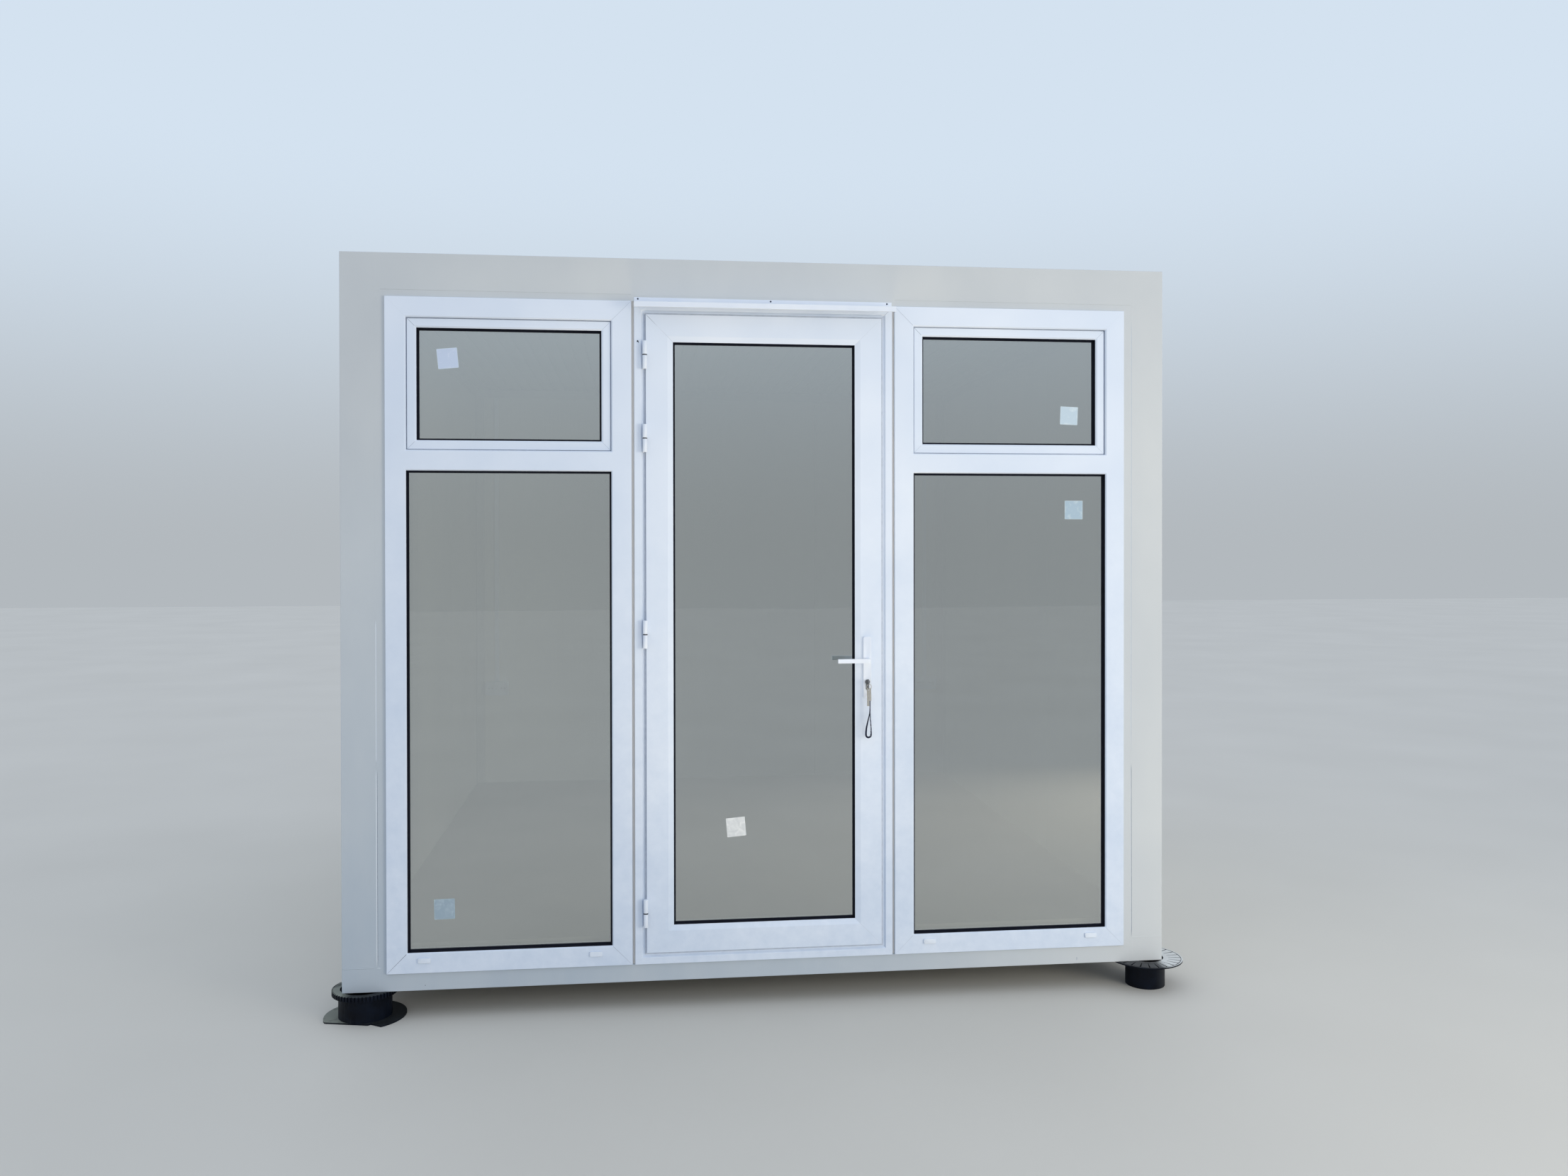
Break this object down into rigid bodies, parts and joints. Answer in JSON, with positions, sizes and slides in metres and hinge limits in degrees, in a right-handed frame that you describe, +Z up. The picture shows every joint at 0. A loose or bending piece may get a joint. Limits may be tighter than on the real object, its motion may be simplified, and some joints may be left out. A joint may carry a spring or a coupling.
{
  "type": "portable site cabin",
  "caption": "Boxy portable cabin with a light steel frame, sandwich-panel walls and a glazed front: a hinged glass door between two tall windows, standing on black plastic spools.",
  "frame": {"origin": "centre of the bounding box on the ground under the spools", "axes": "+Z up, the glazed front faces -Y, +X to the right seen from the front"},
  "size_m": [3.1838, 3.3758, 2.703],
  "materials": {
    "frame_steel": "satin",
    "panel_steel": "satin",
    "zinc_steel": "dull",
    "floor_wood": "dull",
    "white_pvc": "gloss",
    "white_aluminium": "gloss",
    "clear_glass": "gloss",
    "black_rubber": "dull",
    "nickel": "satin",
    "woven_cord": "dull",
    "black_plastic": "dull"
  },
  "bodies": {
    "cabin": {"base_corners": "frame_steel", "base_rail_front": "frame_steel", "base_rail_back": "frame_steel", "base_rails_side": "frame_steel", "floor_joists": "zinc_steel", "floor_board": "floor_wood", "post_front_left": "frame_steel", "post_front_right": "frame_steel", "post_back_left": "frame_steel", "post_back_right": "frame_steel", "roof_rail_front": "frame_steel", "roof_rail_back": "frame_steel", "roof_rails_side": "frame_steel", "roof_joists": "zinc_steel", "roof_sheet": "zinc_steel", "ceiling_board": "panel_steel", "wall_left": "panel_steel", "wall_right": "panel_steel", "wall_back": "panel_steel", "inner_trims": "frame_steel", "wall_sockets": "white_pvc", "front_mullions": "frame_steel", "front_trims": "frame_steel", "window_frame_left": "white_pvc", "window_frame_right": "white_pvc", "window_sashes": "white_pvc", "window_panes": "clear_glass", "window_gaskets": "black_rubber", "window_beads": "white_pvc", "drain_caps": "white_pvc", "door_frame": "white_pvc", "door_drip_cap": "white_aluminium", "hinge_frame_halves": "white_aluminium", "support_spools": "black_plastic", "worn_spool": "black_plastic"},
    "door": {"door_leaf": "white_pvc", "door_pane": "clear_glass", "door_gasket": "black_rubber", "door_bead": "white_pvc", "hinge_leaf_halves": "white_aluminium", "handle_plates": "white_aluminium", "lock_cylinder": "nickel", "keys": "nickel", "key_lanyard": "woven_cord"},
    "lever": {"door_levers": "white_aluminium"}
  },
  "joints": [
    {"name": "door_swing", "type": "hinge", "parent": "cabin", "child": "door", "pos_m": [-0.44, -1.626, 1.3], "axis": [0, 0, -1], "range_deg": [0, 110]},
    {"name": "lever_turn", "type": "hinge", "parent": "door", "child": "lever", "pos_m": [0.367, -1.613, 1.254], "axis": [0, -1, 0], "range_deg": [0, 40], "stiffness_Nm_per_rad": 2, "springref_deg": -17.19}
  ]
}
